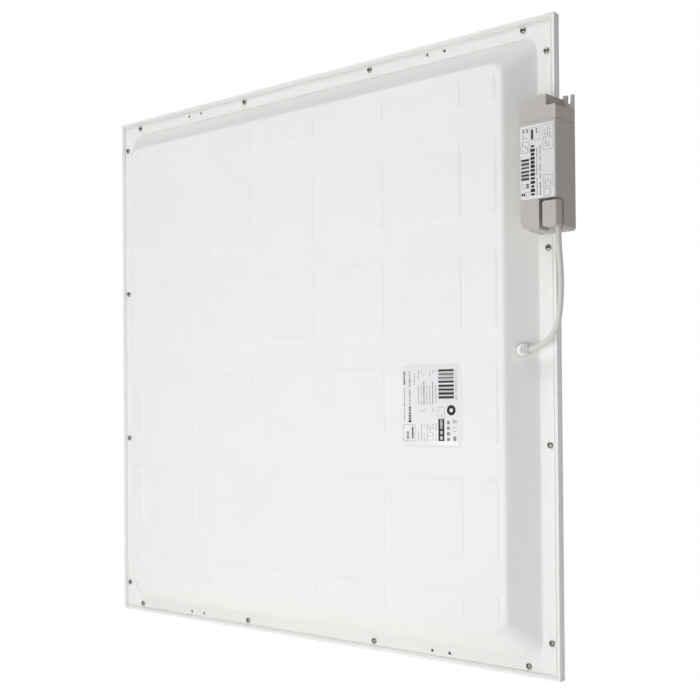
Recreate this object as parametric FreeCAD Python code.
import FreeCAD, Part
import math
import os

from FreeCAD import Rotation, Vector

# Recessed LED panel light for a 600 mm ceiling grid, standing on edge.
# X runs along the panel's width, Z up its height, and Y through it: the rear
# face of the tray's flange is the plane y = 0, and the lit face looks along +Y.
# What stands out behind it (frame lip, tray crown, gland, driver) is at negative y.
# All sizes are in millimetres.

# ---- frame ---------------------------------------------------------------
PANEL = 595.0            # outside of the square frame
HALF = PANEL / 2
FRAME_DEPTH = 9.0        # front rim to rear lip
LIP_Y = -2.5             # the rear lip stands this far behind the flange
RIM_Y = LIP_Y + FRAME_DEPTH
FRAME_WALL = 1.3
LIP_WIDTH = 4.2          # rear lip that surrounds the tray
RIM_WIDTH = 12.0         # front rim that carries the diffuser
LEDGE_WIDTH = 16.0       # ledge under the tray's flange
LEDGE_THICK = 1.2
BOSS_INSET = 9.0         # screw boss, measured from the outside
BOSS_HALF = 2.0
BOSS_END = 3.5           # y of the boss's inner end
KEY_LEG = 32.0
KEY_THICK = 1.5

# ---- rear tray -----------------------------------------------------------
SHEET = 0.6
FLANGE_Y = 0.0
FLANGE_HALF = 293.1
FOOT_HALF = 279.0        # where the slope leaves the flange
FOOT_RADIUS = 12.0
CREST_HALF = 256.0       # where the slope meets the crown
CREST_RADIUS = 16.0
CROWN_HEIGHT = 24.0
CROWN_Y = FLANGE_Y - CROWN_HEIGHT
CREST_BEND = 5.0
FOOT_BEND = 3.5

# pressed pads of the crown: columns across X, rows up Z
PAD_RISE = 0.8
PAD_CORNER = 4.0
PAD_DRAFT = 0.8
COLUMN_PITCH = 89.25
PAD_WIDTH = 67.0
ROW_PITCH = 104.0
PAD_HEIGHT = 78.0
PAD_LIMIT = 250.0        # the outer pads stop here
TRAY_LABEL = (143.5, 208.5, -89.5, -14.5)      # x and z limits

# ---- screws and accessory holes in the flange ----------------------------
SCREW_STEP = 88.3        # screws at 1 and 3 steps either side of the middle
SCREW_LINE = HALF - BOSS_INSET
SCREW_RADIUS = 1.4
SCREW_HEAD_RADIUS = 2.9
SCREW_HEAD_HEIGHT = 1.8
PILOT_RADIUS = 1.5
FLANGE_HOLE_RADIUS = 1.7
ACCESSORY_NEAR = 159.0
ACCESSORY_FAR = 179.0
ACCESSORY_RADIUS = 1.65

# ---- light engine --------------------------------------------------------
BAR_WIDTH = 11.0
BAR_THICK = 1.0
BAR_HALF = 232.0
BAR_COUNT = 6
LEDS_PER_BAR = 9
LED_PITCH = 52.0
DIFFUSER_HALF = 295.9
DIFFUSER_THICK = 1.5
DIFFUSER_BACK = RIM_Y - FRAME_WALL - DIFFUSER_THICK
CROWN_INSIDE = CROWN_Y + SHEET
BAR_FRONT = CROWN_INSIDE + BAR_THICK

# ---- driver --------------------------------------------------------------
DRIVER_LEFT = 278.6      # of the front face; the back is wider by the draft
DRIVER_RIGHT = 313.7
DRAFT_LEFT = 2.0
DRAFT_RIGHT = 3.2
DRIVER_BOTTOM = 100.0
COVER_TOP = 194.0
DRIVER_TOP = 206.5
DRIVER_FRONT = -32.5
BASE_THICK = 2.5
BASE_FRONT = LIP_Y - BASE_THICK
COVER_WALL = 1.6
SEAM = 0.3
NECK_RIGHT = 304.5
NECK_DRAFT = 2.6
NECK_TOP = 213.5
BOSS_LEFT = 294.8
BOSS_TOP = 216.5
TERMINAL_FRONT = -31.9
EAR_LEFT = 307.6
EAR_RIGHT = 317.2
EAR_TOP = 219.5
EAR_SLOT_RADIUS = 1.7
EAR_SLOT_FLOOR = 213.2   # centre of the slot's round end
LABEL_THICK = 0.25
LABEL_TOP = 191.2

# corner pocket of the driver and the clamp that fills it
POCKET_LEFT = 297.1
POCKET_TOP = 126.3
POCKET_SIDE_Y = -20.3    # floor of the pocket along the driver's side
POCKET_FLOOR_Y = -17.0   # deeper floor that the lead runs over
POCKET_INNER_RIGHT = 312.8
CLAMP_LEFT = 300.5
CLAMP_TOP = 123.8
CLAMP_BOTTOM = 101.6
CLAMP_BACK = -23.5
BUSH_RADIUS = 3.1

# what the driver's mains end and circuit board measure
CABLE_ENTRY = (284.0, 293.0, -21.5, -12.5)     # x and y limits of the mains cable's way in
PCB_BACK = -6.1
PCB_FRONT = -7.7
TERMINAL_TOP_Y = -21.5
BUTTON_HALF = 2.2
BUTTON_LOW = 197.0
BUTTON_HIGH = 201.4
BUTTON_PLACES = {"line_button": 287.5, "neutral_button": 296.5}
BUTTON_TRAVEL = 1.5
BUTTON_FOOT_Y = -16.5
BUTTON_TOP_Y = -23.3
WIRE_WAY_Y = -11.5

# ---- DC lead -------------------------------------------------------------
LEAD_DIAMETER = 5.0
LEAD_ROUTE = [
    (309.4, -20.4, 106.0),
    (309.4, -20.4, 88.0),
    (312.4, -21.7, 62.0),
    (310.8, -22.5, 36.0),
    (303.5, -21.1, 14.0),
    (289.0, -17.1, 1.0),
    (271.1, -15.5, -3.0),
]
INNER_LEAD_DIAMETER = 2.4
INNER_LEAD_ROUTE = [
    (263.6, -8.3, -3.0),
    (256.4, -1.4, -4.0),
    (247.0, -4.5, -16.0),
    (238.5, -20.4, -26.0),
    (227.125, -20.4, -26.0),
]

# ---- gland on the right slope, half way down the slope and almost mid-heig
SLOPE_RUN = FOOT_HALF - CREST_HALF
SLOPE_LENGTH = math.hypot(SLOPE_RUN, CROWN_HEIGHT)
SLOPE_NORMAL = Vector(CROWN_HEIGHT / SLOPE_LENGTH, -SLOPE_RUN / SLOPE_LENGTH, 0)
GLAND_SEAT = Vector((FOOT_HALF + CREST_HALF) / 2, (FLANGE_Y + CROWN_Y) / 2, -3.0)
GLAND_RADIUS = 5.75
GLAND_HEIGHT = 8.6
SEAL_RADIUS = 6.4
SEAL_THICK = 1.0
STEM_RADIUS = 4.0
STEM_LENGTH = 5.3
GLAND_BORE_RADIUS = 3.1

Y_AXIS = Vector(0, 1, 0)


# ---- helpers -------------------------------------------------------------
def box(x_low, x_high, y_low, y_high, z_low, z_high):
    """A box between two corners."""
    return Part.makeBox(x_high - x_low, y_high - y_low, z_high - z_low, Vector(x_low, y_low, z_low))


def rounded_outline(x_low, x_high, z_low, z_high, radius, y):
    """A closed rectangle in the plane y, with one radius, or four from the
    lower left corner round to the upper left one by way of the right."""
    radii = radius if isinstance(radius, tuple) else (radius,) * 4
    corners = [(x_low, z_low), (x_high, z_low), (x_high, z_high), (x_low, z_high)]
    inward = [(1, 1), (-1, 1), (-1, -1), (1, -1)]
    diagonal = 1 - math.sqrt(0.5)
    edges = []
    ends = []
    for index, ((x, z), (step_x, step_z), r) in enumerate(zip(corners, inward, radii)):
        along_x = Vector(x + step_x * r, y, z)
        along_z = Vector(x, y, z + step_z * r)
        middle = Vector(x + step_x * r * diagonal, y, z + step_z * r * diagonal)
        first, last = (along_z, along_x) if index % 2 == 0 else (along_x, along_z)
        edges.append(Part.Arc(first, middle, last).toShape())
        ends.append((first, last))
    for index in range(4):
        edges.append(Part.LineSegment(ends[index][1], ends[(index + 1) % 4][0]).toShape())
    return Part.Wire(Part.__sortEdges__(edges))


def drafted_block(back, front, back_y, front_y, back_radius, front_radius):
    """A solid between two rounded rectangles (x low, x high, z low, z high)."""
    outlines = [rounded_outline(*back, back_radius, back_y), rounded_outline(*front, front_radius, front_y)]
    return Part.makeLoft(outlines, True, True)


def cylinder(start, direction, radius, length):
    """A round bar from a point along a direction."""
    return Part.makeCylinder(radius, length, start, direction)


def turned(profile, start, direction):
    """A solid of revolution from (radius, height) points, standing at start."""
    points = [Vector(radius, 0, height) for radius, height in profile]
    face = Part.Face(Part.makePolygon(points + points[:1]))
    solid = face.revolve(Vector(0, 0, 0), Vector(0, 0, 1), 360)
    solid.Placement = FreeCAD.Placement(start, Rotation(Vector(0, 0, 1), direction))
    return solid


def edges_in_plane(shape, y, tolerance=0.01):
    """The edges of a shape that lie in a plane y."""
    return [e for e in shape.Edges if all(abs(v.Point.y - y) < tolerance for v in e.Vertexes)]


def tube_along(route, diameter):
    """A tube of straight runs with tangent arcs; returns it, its length and its radii."""
    points = [Vector(*p) for p in route]
    edges = []
    radii = []
    cursor = points[0]
    for before, corner, after in zip(points, points[1:], points[2:]):
        way_in = (corner - before).normalize()
        way_out = (after - corner).normalize()
        half_turn = way_in.getAngle(way_out) / 2
        reach = 0.45 * min((corner - before).Length, (after - corner).Length)
        radius = reach / math.tan(half_turn)
        start = corner - way_in * reach
        end = corner + way_out * reach
        towards_centre = (way_out - way_in).normalize()
        middle = corner + towards_centre * (radius / math.cos(half_turn) - radius)
        edges.append(Part.LineSegment(cursor, start).toShape())
        edges.append(Part.Arc(start, middle, end).toShape())
        radii.append(radius)
        cursor = end
    edges.append(Part.LineSegment(cursor, points[-1]).toShape())
    path = Part.Wire(edges)
    section = Part.Wire(Part.makeCircle(diameter / 2, points[0], points[1] - points[0]))
    tube = path.makePipeShell([section], True, False)
    return tube, path.Length, radii


def group(solids):
    """Several separate solids in one node."""
    return Part.makeCompound(solids)


def on_four_sides(bottom_piece):
    """A piece of the bottom side repeated on the other three."""
    return [bottom_piece.rotated(Vector(0, 0, 0), Y_AXIS, 90 * quarter) for quarter in range(4)]


# ---- frame ---------------------------------------------------------------
def frame_rails():
    """Four mitred rails: outer wall, rear lip, flange ledge, screw boss and front rim."""
    ledge_top = FLANGE_Y + SHEET
    ledge_end = ledge_top + LEDGE_THICK
    rim_top = RIM_Y - FRAME_WALL
    section = [
        (0, LIP_Y), (LIP_WIDTH, LIP_Y), (LIP_WIDTH, ledge_top), (LEDGE_WIDTH, ledge_top),
        (LEDGE_WIDTH, ledge_end), (BOSS_INSET + BOSS_HALF, ledge_end), (BOSS_INSET + BOSS_HALF, BOSS_END),
        (BOSS_INSET - BOSS_HALF, BOSS_END), (BOSS_INSET - BOSS_HALF, ledge_end), (FRAME_WALL, ledge_end),
        (FRAME_WALL, rim_top), (RIM_WIDTH, rim_top), (RIM_WIDTH, RIM_Y), (0, RIM_Y),
    ]
    points = [Vector(-HALF, y, inset - HALF) for inset, y in section]
    bar = Part.Face(Part.makePolygon(points + points[:1])).extrude(Vector(PANEL, 0, 0))
    outer_edges = [
        e for e in bar.Edges
        if all(abs(v.Point.z + HALF) < 0.01 for v in e.Vertexes) and e.Length > PANEL / 2
    ]
    bar = bar.makeFillet(0.6, outer_edges)
    reach = LEDGE_WIDTH + 1
    trapezium = [(-HALF, -HALF), (HALF, -HALF), (HALF - reach, reach - HALF), (reach - HALF, reach - HALF)]
    points = [Vector(x, LIP_Y - 1, z) for x, z in trapezium]
    mitre = Part.Face(Part.makePolygon(points + points[:1])).extrude(Vector(0, FRAME_DEPTH + 2, 0))
    side_rail = bar.common(mitre).cut(group([boss_hole(x, PILOT_RADIUS) for x in screw_steps()]))
    end_rail = side_rail.cut(group([boss_hole(x, ACCESSORY_RADIUS) for x in accessory_places()]))
    rotated = [end_rail, side_rail, end_rail, side_rail]
    names = ["frame_rail_bottom", "frame_rail_left", "frame_rail_top", "frame_rail_right"]
    return {
        name: rail.rotated(Vector(0, 0, 0), Y_AXIS, 90 * quarter).Solids[0]
        for quarter, (name, rail) in enumerate(zip(names, rotated))
    }


def boss_hole(x, radius):
    """A hole right through the bottom rail's ledge and boss."""
    return cylinder(Vector(x, FLANGE_Y, -SCREW_LINE), Y_AXIS, radius, BOSS_END - FLANGE_Y + 0.1)


def screw_steps():
    """Places of the four screws along each side."""
    return [step * SCREW_STEP for step in (-3, -1, 1, 3)]


def accessory_places():
    """Places of the accessory holes along the top and bottom flanges."""
    return [side * place for side in (-1, 1) for place in (ACCESSORY_NEAR, ACCESSORY_FAR)]


def corner_keys():
    """Flat steel angles that join the rails inside their channel."""
    outer = -HALF + FRAME_WALL + 0.15
    inner = -HALF + BOSS_INSET - BOSS_HALF - 0.15
    top = FLANGE_Y + SHEET + LEDGE_THICK
    leg_x = box(outer, outer + KEY_LEG, top, top + KEY_THICK, outer, inner)
    leg_z = box(outer, inner, top, top + KEY_THICK, outer, outer + KEY_LEG)
    return group(on_four_sides(leg_x.fuse(leg_z).removeSplitter()))


# ---- rear tray -----------------------------------------------------------
def pad_spans(pitch, width, count_each_side, odd):
    """The spans of a row of pads, with the cut-off ones at both ends."""
    offsets = range(-count_each_side, count_each_side + 1)
    centres = [pitch * k for k in offsets] if odd else [pitch * (k + 0.5) for k in offsets][:-1]
    spans = [(centre - width / 2, centre + width / 2) for centre in centres]
    inner_edge = centres[-1] + pitch - width / 2
    return [(-PAD_LIMIT, -inner_edge)] + spans + [(inner_edge, PAD_LIMIT)]


def pads(base_y, rise, shrink):
    """The pressed pads as drafted blocks, grown or shrunk all round."""
    blocks = []
    for x_low, x_high in pad_spans(COLUMN_PITCH, PAD_WIDTH, 2, True):
        for z_low, z_high in pad_spans(ROW_PITCH, PAD_HEIGHT, 2, False):
            foot = (x_low + shrink, x_high - shrink, z_low + shrink, z_high - shrink)
            top = (foot[0] + PAD_DRAFT, foot[1] - PAD_DRAFT, foot[2] + PAD_DRAFT, foot[3] - PAD_DRAFT)
            blocks.append(drafted_block(foot, top, base_y, base_y - rise,
                                        PAD_CORNER, PAD_CORNER - PAD_DRAFT))
    return blocks


def crown(inset, top_y, bottom_y):
    """The tray's raised crown, moved inwards by inset, between two planes."""
    def half_at(y):
        return FOOT_HALF + (y - FLANGE_Y) * SLOPE_RUN / CROWN_HEIGHT - inset
    low, high = half_at(bottom_y), half_at(top_y)
    return drafted_block((-low, low, -low, low), (-high, high, -high, high), bottom_y, top_y,
                         FOOT_RADIUS, CREST_RADIUS)


def rear_tray():
    """Pressed steel tray: flange, slopes, crown and pads in one sheet."""
    under = FLANGE_Y + SHEET
    outside = crown(0, CROWN_Y, under)
    outside = outside.makeFillet(CREST_BEND, edges_in_plane(outside, CROWN_Y))
    outside = outside.fuse(box(-FLANGE_HALF, FLANGE_HALF, FLANGE_Y, under, -FLANGE_HALF, FLANGE_HALF))
    foot = [e for e in edges_in_plane(outside, FLANGE_Y) if e.BoundBox.XMax < FLANGE_HALF - 1
            and e.BoundBox.XMin > 1 - FLANGE_HALF and abs(e.BoundBox.ZMax) < FLANGE_HALF - 1
            and abs(e.BoundBox.ZMin) < FLANGE_HALF - 1]
    outside = outside.makeFillet(FOOT_BEND, foot)

    sideways = SHEET * SLOPE_LENGTH / CROWN_HEIGHT
    slab_end = under + 10
    inside = crown(sideways, CROWN_INSIDE, under + 0.001)
    inside = inside.makeFillet(CREST_BEND - SHEET, edges_in_plane(inside, CROWN_INSIDE))
    slab = box(-HALF, HALF, under, slab_end, -HALF, HALF)
    inside = inside.fuse(slab)

    sheet = outside.fuse(pads(CROWN_Y, PAD_RISE, 0.0)).cut(inside)
    sheet = sheet.cut(group(pads(CROWN_INSIDE, PAD_RISE, SHEET)))
    drills = []
    for x in screw_steps():
        hole = cylinder(Vector(x, LIP_Y, -SCREW_LINE), Y_AXIS, FLANGE_HOLE_RADIUS, FRAME_DEPTH)
        drills += on_four_sides(hole)
    for x in accessory_places():
        for z in (-SCREW_LINE, SCREW_LINE):
            drills.append(cylinder(Vector(x, LIP_Y, z), Y_AXIS, ACCESSORY_RADIUS, FRAME_DEPTH))
    drills.append(cylinder(GLAND_SEAT - SLOPE_NORMAL * 4, SLOPE_NORMAL, STEM_RADIUS + 0.2, 8))
    return sheet.cut(group(drills)).Solids[0]


def pan_head_screw(x):
    """A pan head screw with a cross recess, on the bottom flange."""
    head_top = FLANGE_Y - SCREW_HEAD_HEIGHT
    shank = cylinder(Vector(x, FLANGE_Y, -SCREW_LINE), Y_AXIS, SCREW_RADIUS, BOSS_END - FLANGE_Y - 0.2)
    head = cylinder(Vector(x, head_top, -SCREW_LINE), Y_AXIS, SCREW_HEAD_RADIUS, SCREW_HEAD_HEIGHT)
    head = head.makeFillet(0.9, edges_in_plane(head, head_top))
    slot_deep, slot_half, slot_long = 1.1, 0.35, 1.6
    for half_x, half_z in ((slot_half, slot_long), (slot_long, slot_half)):
        head = head.cut(box(x - half_x, x + half_x, head_top, head_top + slot_deep,
                            -SCREW_LINE - half_z, -SCREW_LINE + half_z))
    return head.fuse(shank).removeSplitter()


def tray_screws():
    """The sixteen screws that hold the tray to the frame."""
    return group([s for x in screw_steps() for s in on_four_sides(pan_head_screw(x))])


def tray_label():
    """Rating label on one pad of the crown."""
    top = CROWN_Y - PAD_RISE
    left, right, low, high = TRAY_LABEL
    return box(left, right, top - LABEL_THICK, top, low, high)


# ---- light engine --------------------------------------------------------
def bar_places():
    """The X of each LED bar: the channels between the columns of pads."""
    return [COLUMN_PITCH * (k - BAR_COUNT / 2 + 0.5) for k in range(BAR_COUNT)]


def led_bars():
    """Six aluminium-core LED boards on the channel floors."""
    half = BAR_WIDTH / 2
    return {f"led_bar_{number}": box(x - half, x + half, CROWN_INSIDE, BAR_FRONT, -BAR_HALF, BAR_HALF)
            for number, x in enumerate(bar_places(), 1)}


def led_places():
    """Every LED's x and z."""
    first = -LED_PITCH * (LEDS_PER_BAR - 1) / 2
    return [(x, first + LED_PITCH * k) for x in bar_places() for k in range(LEDS_PER_BAR)]


def led_chips():
    """The LED packages under the lenses."""
    half, front = 1.4, BAR_FRONT + 0.7
    return group([box(x - half, x + half, BAR_FRONT, front, z - half, z + half) for x, z in led_places()])


def led_lenses():
    """Wide-angle lenses: a domed disc with a dimple and a hollow for the LED."""
    profile = [(2.4, 0.0), (5.2, 0.0), (6.5, 1.6), (6.2, 3.6), (4.6, 5.2), (2.4, 5.4), (0.0, 4.0),
               (0.0, 2.2), (1.6, 1.6)]
    return group([turned(profile, Vector(x, BAR_FRONT, z), Y_AXIS) for x, z in led_places()])


def bar_connectors():
    """Board connectors near the lower end of each bar, and the inlet on the last."""
    half_x, tall = 4.0, 4.0
    low, high = -BAR_HALF + 1, -BAR_HALF + 9
    blocks = [box(x - half_x, x + half_x, BAR_FRONT, BAR_FRONT + tall, low, high) for x in bar_places()]
    inlet = bar_places()[-1]
    blocks.append(box(inlet - half_x, inlet + half_x, BAR_FRONT, BAR_FRONT + tall, -31.0, -21.0))
    return group(blocks)


def bar_jumpers():
    """Short insulated links from bar to bar."""
    z = -BAR_HALF + 5
    links = []
    for left, right in zip(bar_places(), bar_places()[1:]):
        for offset in (-1.2, 1.2):
            start = Vector(left + 4.0, BAR_FRONT + 2, z + offset)
            links.append(cylinder(start, Vector(1, 0, 0), 0.8, right - left - 8.0))
    return group(links)


def diffuser():
    """Opal diffuser plate carried by the front rim."""
    plate = drafted_block((-DIFFUSER_HALF, DIFFUSER_HALF) * 2, (-DIFFUSER_HALF, DIFFUSER_HALF) * 2,
                          DIFFUSER_BACK + DIFFUSER_THICK, DIFFUSER_BACK, 0.8, 0.8)
    return plate


def diffuser_supports():
    """Clear pins that stand on the pads and keep the diffuser from sagging."""
    foot_y = CROWN_INSIDE - PAD_RISE
    height = DIFFUSER_BACK - foot_y - 0.3
    profile = [(0, 0), (7.0, 0), (7.0, 1.2), (3.0, 2.6), (1.4, height - 1.0), (0.6, height), (0, height)]
    places = [(x, z) for x in (-COLUMN_PITCH, COLUMN_PITCH) for z in (-ROW_PITCH / 2, ROW_PITCH / 2)]
    return group([turned(profile, Vector(x, foot_y, z), Y_AXIS) for x, z in places])


# ---- gland ---------------------------------------------------------------
def lead_entry():
    """The lead's end in the gland and the direction it leaves in."""
    end = Vector(*LEAD_ROUTE[-1])
    return end, (Vector(*LEAD_ROUTE[-2]) - end).normalize()


def gland_seal():
    """Rubber washer between the gland and the tray."""
    ring = cylinder(GLAND_SEAT, SLOPE_NORMAL, SEAL_RADIUS, SEAL_THICK)
    return ring.cut(cylinder(GLAND_SEAT, SLOPE_NORMAL, STEM_RADIUS + 0.2, SEAL_THICK))


def gland_body():
    """Angled cable gland: a slotted cap with a side entry, on a hollow stem."""
    shoulder = GLAND_SEAT + SLOPE_NORMAL * SEAL_THICK
    cap_height = GLAND_HEIGHT - SEAL_THICK
    profile = [(0, 0), (GLAND_RADIUS, 0), (GLAND_RADIUS, cap_height - 1.6),
               (GLAND_RADIUS - 0.6, cap_height - 0.5), (GLAND_RADIUS - 1.8, cap_height), (0, cap_height)]
    cap = turned(profile, shoulder, SLOPE_NORMAL)
    stem_foot = GLAND_SEAT - SLOPE_NORMAL * STEM_LENGTH
    stem = cylinder(stem_foot, SLOPE_NORMAL, STEM_RADIUS, STEM_LENGTH + SEAL_THICK)
    end, way = lead_entry()
    body = cap.fuse(stem).cut(cylinder(end, way, GLAND_BORE_RADIUS, 12))
    body = body.cut(cylinder(stem_foot, SLOPE_NORMAL, 1.8, STEM_LENGTH - 1))
    face = GLAND_SEAT + SLOPE_NORMAL * GLAND_HEIGHT
    across = Vector(SLOPE_NORMAL.y, -SLOPE_NORMAL.x, 0)
    for offset in (-1.6, 1.6):
        slot = Part.makeBox(1.0, 2.0, 5.0, Vector(-0.5, -1.0, -2.5))
        slot.Placement = FreeCAD.Placement(face + across * offset, Rotation(Y_AXIS, SLOPE_NORMAL))
        body = body.cut(slot)
    return body.Solids[0]


def gland_locknut():
    """Hexagon nut on the gland's stem, inside the tray."""
    under = GLAND_SEAT - SLOPE_NORMAL * SHEET
    corners = []
    for k in range(7):
        angle = math.radians(60 * k)
        corners.append(Vector(7.0 * math.cos(angle), 7.0 * math.sin(angle), 0))
    nut = Part.Face(Part.makePolygon(corners)).extrude(Vector(0, 0, 3))
    nut = nut.cut(cylinder(Vector(0, 0, 0), Vector(0, 0, 1), STEM_RADIUS + 0.1, 3))
    nut.Placement = FreeCAD.Placement(under, Rotation(Vector(0, 0, 1), -SLOPE_NORMAL))
    return nut


# ---- driver --------------------------------------------------------------
def back_and_front(left, right, low, high, grow_left=DRAFT_LEFT, grow_right=DRAFT_RIGHT):
    """The back and front rectangles of a drafted part of the driver."""
    return (left - grow_left, right + grow_right, low, high), (left, right, low, high)


def driver_outside():
    """The driver's main cover as a solid block."""
    beyond = COVER_TOP + 15
    back, front = back_and_front(DRIVER_LEFT, DRIVER_RIGHT, DRIVER_BOTTOM, beyond)
    block = drafted_block(back, front, BASE_FRONT, DRIVER_FRONT, (7.0, 3.0, 3.0, 3.0), (9.0, 4.5, 4.5, 4.5))
    block = block.makeFillet(1.4, edges_in_plane(block, DRIVER_FRONT))
    return block.common(box(0, 2 * HALF, DRIVER_FRONT - 1, 0, 0, COVER_TOP))


def clamp_pocket(room=0.0):
    """The corner pocket for the output clamp, with extra room for its walls."""
    outer = drafted_block(
        (POCKET_LEFT - room, 330, 80, POCKET_TOP + room), (POCKET_LEFT - room, 330, 80, POCKET_TOP + room),
        POCKET_SIDE_Y + room, -40, (0.1, 0.1, 0.1, 4.0), (0.1, 0.1, 0.1, 4.0))
    inner = box(POCKET_LEFT - room, POCKET_INNER_RIGHT + room, -40, POCKET_FLOOR_Y + room,
                80, POCKET_TOP + room)
    return outer.fuse(inner)


def driver_cover():
    """Main plastic cover with a partition at the terminal end and a corner pocket."""
    wall = COVER_WALL
    back, front = back_and_front(DRIVER_LEFT + wall, DRIVER_RIGHT - wall,
                                 DRIVER_BOTTOM + wall, COVER_TOP - wall)
    cavity = drafted_block(back, front, BASE_FRONT + 0.01, DRIVER_FRONT + wall, 3.0, 3.0)
    cavity = cavity.cut(clamp_pocket(wall))
    cover = driver_outside().cut(cavity).cut(clamp_pocket())
    # where the circuit board's tongue passes into the terminal end
    tongue_gap = box(281.5, 304.0, PCB_FRONT - 2.2, BASE_FRONT, COVER_TOP - wall - 0.5, COVER_TOP + 0.5)
    bush_hole = cylinder(Vector(LEAD_ROUTE[0][0], LEAD_ROUTE[0][1], POCKET_TOP - 1), Vector(0, 0, 1),
                         BUSH_RADIUS - 1.1, wall + 2)
    return cover.cut(tongue_gap).cut(bush_hole).Solids[0]


def output_clamp():
    """Corner insert that covers and grips the lead; it pulls straight out."""
    face = driver_outside().common(box(CLAMP_LEFT, 330, -40, CLAMP_BACK, CLAMP_BOTTOM, CLAMP_TOP))
    rim = [e for e in face.Edges if abs(e.BoundBox.XMax - CLAMP_LEFT) < 0.01 and e.BoundBox.YLength > 5]
    face = face.makeFillet(2.2, rim)
    stem = box(CLAMP_LEFT + 0.6, CLAMP_LEFT + 5.4, CLAMP_BACK - 0.5, POCKET_FLOOR_Y - 0.3,
               CLAMP_BOTTOM + 2, CLAMP_TOP - 2)
    return face.fuse(stem).removeSplitter()


def lead_bush():
    """Grommet that brings the lead out of the driver's inner wall."""
    x, y, z = LEAD_ROUTE[0]
    return cylinder(Vector(x, y, z), Vector(0, 0, 1), BUSH_RADIUS, POCKET_TOP - z)


def terminal_shell(wall):
    """The mains end's outer or inner shape; wall is 0 outside."""
    end_wall = wall if wall else 0.0
    low = COVER_TOP + SEAM - (1.0 if wall else 0.0)
    front_y = TERMINAL_FRONT + wall
    back_y = BASE_FRONT + (0.01 if wall else 0.0)
    corner = 8.0 - wall
    blocks = [
        (DRIVER_LEFT, NECK_RIGHT, NECK_TOP, DRAFT_LEFT, NECK_DRAFT, (0.2, 0.2, 0.6, corner)),
        (BOSS_LEFT, NECK_RIGHT, BOSS_TOP, 0.0, NECK_DRAFT, (0.2, 0.2, 0.6, 0.6)),
        (BOSS_LEFT, DRIVER_RIGHT, DRIVER_TOP, 0.0, DRAFT_RIGHT, (0.2, 0.2, 1.2, 0.2)),
    ]
    shape = None
    for left, right, top, grow_left, grow_right, radii in blocks:
        back, front = back_and_front(left + wall, right - wall, low, top - end_wall, grow_left, grow_right)
        block = drafted_block(back, front, back_y, front_y, radii, radii)
        shape = block if shape is None else shape.fuse(block)
    return shape.removeSplitter()


def terminal_cover():
    """Cap over the mains terminals; it slides off upwards."""
    shell = terminal_shell(0.0).cut(terminal_shell(COVER_WALL))
    x_low, x_high, y_low, y_high = CABLE_ENTRY
    entry = box(x_low, x_high, y_low, y_high, NECK_TOP - 6, NECK_TOP + 2)
    entry = entry.makeFillet(2.5, [e for e in entry.Edges if e.BoundBox.ZLength > 5])
    return shell.cut(entry).Solids[0]


def driver_base():
    """Base plate with the slotted fixing ear."""
    left, right = DRIVER_LEFT - DRAFT_LEFT, DRIVER_RIGHT + DRAFT_RIGHT
    limits = (left, right, DRIVER_BOTTOM, DRIVER_TOP)
    radii = (7.0, 3.0, 0.5, 0.5)
    plate = drafted_block(limits, limits, LIP_Y, BASE_FRONT, radii, radii)
    neck = box(left, NECK_RIGHT + NECK_DRAFT, BASE_FRONT, LIP_Y, DRIVER_TOP - 1, NECK_TOP - 2)
    ear = box(NECK_RIGHT + NECK_DRAFT - 0.5, EAR_RIGHT - 0.3, BASE_FRONT, LIP_Y, DRIVER_TOP - 1, EAR_TOP)
    middle = (EAR_LEFT + EAR_RIGHT) / 2
    slot = box(middle - EAR_SLOT_RADIUS, middle + EAR_SLOT_RADIUS, -10, 0, EAR_SLOT_FLOOR, EAR_TOP + 1)
    slot = slot.fuse(cylinder(Vector(middle, -10, EAR_SLOT_FLOOR), Y_AXIS, EAR_SLOT_RADIUS, 10))
    return plate.fuse([neck, ear]).cut(slot).removeSplitter()


def driver_label():
    """Wrap-around rating label on the driver's front."""
    return box(DRIVER_LEFT + 0.9, DRIVER_RIGHT - 0.9, DRIVER_FRONT - LABEL_THICK, DRIVER_FRONT,
               POCKET_TOP + 0.4, LABEL_TOP)


def foam_tape():
    """Foam strip that packs the driver's free side level with the frame's lip."""
    return box(282.6, 292.6, LIP_Y, FLANGE_Y, 108.0, 200.0)


def driver_pcb():
    """Circuit board with a tongue that carries the mains terminal."""
    board = box(282.5, 310.5, PCB_FRONT, PCB_BACK, 103.5, 191.0)
    tongue = box(283.0, 301.5, PCB_FRONT, PCB_BACK, 191.0, 205.0)
    return board.fuse(tongue).removeSplitter()


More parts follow.
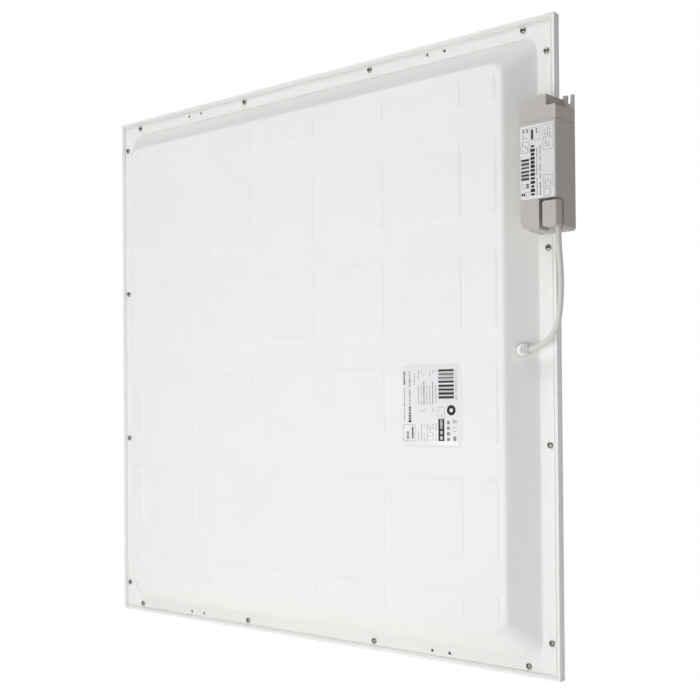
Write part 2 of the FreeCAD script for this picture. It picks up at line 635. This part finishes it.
def board_parts():
    """What stands on the driver's circuit board."""
    tall = PCB_FRONT - 18.8
    window = box(290.0, 304.0, -40, 0, 148.0, 160.0)
    core = box(286.0, 308.0, tall + 2, PCB_FRONT - 2.8, 144.0, 164.0).cut(window)
    winding = box(290.3, 303.7, tall, PCB_FRONT, 148.3, 159.7)
    winding = winding.makeFillet(2.5, [e for e in winding.Edges if e.BoundBox.YLength > 10])
    input_can = cylinder(Vector(290.0, PCB_FRONT, 178.0), -Y_AXIS, 6.0, 19.0)
    output_cans = [cylinder(Vector(x, PCB_FRONT, 135.6), -Y_AXIS, 4.0, 7.4) for x in (287.5, 303.0)]
    choke = cylinder(Vector(303.5, PCB_FRONT - 6.5, 173.0), Vector(0, 0, 1), 6.0, 9.0)
    choke = choke.cut(cylinder(Vector(303.5, PCB_FRONT - 6.5, 173.0), Vector(0, 0, 1), 2.4, 9.0))
    choke = choke.fuse(box(300.5, 306.5, PCB_FRONT - 1.6, PCB_FRONT, 173.0, 182.0))
    heatsink = box(284.0, 285.2, tall, PCB_FRONT, 112.0, 128.0)
    mosfet = box(285.2, 288.0, tall + 2, PCB_FRONT - 2.8, 115.0, 125.0)
    fuse_tube = cylinder(Vector(286.0, PCB_FRONT - 2.6, 167.5), Vector(1, 0, 0), 2.6, 10.0)
    fuse_feet = box(286.0, 288.0, PCB_FRONT - 1.5, PCB_FRONT, 165.6, 169.4)
    return {
        "transformer_core": core,
        "transformer_winding": winding,
        "input_capacitor": input_can.makeFillet(0.8, [input_can.Edges[0]]),
        "output_capacitors": group(output_cans),
        "filter_choke": choke.removeSplitter(),
        "heatsink_plate": heatsink,
        "switching_transistor": mosfet,
        "mains_fuse": fuse_tube.fuse(fuse_feet).removeSplitter(),
    }


def mains_terminal_block():
    """Push-in terminal block with two button wells and two wire ways."""
    block = box(283.0, 301.0, TERMINAL_TOP_Y, PCB_FRONT, 195.2, 206.0)
    for x in BUTTON_PLACES.values():
        room = BUTTON_HALF + 0.15
        well_floor = BUTTON_FOOT_Y + BUTTON_TRAVEL + 0.3
        block = block.cut(box(x - room, x + room, TERMINAL_TOP_Y - 1, well_floor,
                              BUTTON_LOW - 0.15, BUTTON_HIGH + 0.15))
        block = block.cut(cylinder(Vector(x, WIRE_WAY_Y, BUTTON_LOW + 1), Vector(0, 0, 1), 1.6, 10))
    return block


def release_button(x):
    """A button that opens one clamping spring when pressed."""
    button = box(x - BUTTON_HALF, x + BUTTON_HALF, BUTTON_TOP_Y, BUTTON_FOOT_Y, BUTTON_LOW, BUTTON_HIGH)
    return button.makeChamfer(0.4, edges_in_plane(button, BUTTON_TOP_Y))


# ---- build and write -----------------------------------------------------
def build_nodes():
    """Every node of the light by name."""
    lead, lead_length, lead_radii = tube_along(LEAD_ROUTE, LEAD_DIAMETER)
    inner_lead, _, inner_radii = tube_along(INNER_LEAD_ROUTE, INNER_LEAD_DIAMETER)
    print("DC lead: length %.1f, radii %s" % (lead_length, ["%.1f" % r for r in lead_radii]))
    print("DC lead: volume %.1f, section x length %.1f"
          % (lead.Volume, math.pi * LEAD_DIAMETER ** 2 / 4 * lead_length))
    print("inner lead radii", ["%.1f" % r for r in inner_radii])
    nodes = frame_rails()
    nodes.update(led_bars())
    nodes.update(board_parts())
    nodes.update({
        "corner_keys": corner_keys(),
        "rear_tray": rear_tray(),
        "tray_screws": tray_screws(),
        "tray_label": tray_label(),
        "led_chips": led_chips(),
        "led_lenses": led_lenses(),
        "bar_connectors": bar_connectors(),
        "bar_jumpers": bar_jumpers(),
        "diffuser": diffuser(),
        "diffuser_supports": diffuser_supports(),
        "gland_seal": gland_seal(),
        "gland_body": gland_body(),
        "gland_locknut": gland_locknut(),
        "dc_lead": lead,
        "inner_lead": inner_lead,
        "foam_tape": foam_tape(),
        "driver_base": driver_base(),
        "driver_cover": driver_cover(),
        "driver_label": driver_label(),
        "driver_pcb": driver_pcb(),
        "lead_bush": lead_bush(),
        "output_clamp": output_clamp(),
        "terminal_cover": terminal_cover(),
        "mains_terminal_block": mains_terminal_block(),
    })
    nodes.update({name: release_button(x) for name, x in BUTTON_PLACES.items()})
    return nodes


def main():
    """Write one STEP file for each node."""
    os.makedirs("parts", exist_ok=True)
    for name, shape in build_nodes().items():
        if not shape.isValid():
            print("invalid:", name)
        box_size = shape.BoundBox
        print("%-22s solids %3d  volume %10.1f  x %.1f..%.1f  y %.1f..%.1f  z %.1f..%.1f" % (
            name, len(shape.Solids), shape.Volume, box_size.XMin, box_size.XMax,
            box_size.YMin, box_size.YMax, box_size.ZMin, box_size.ZMax))
        shape.exportStep(os.path.join("parts", name + ".step"))


main()
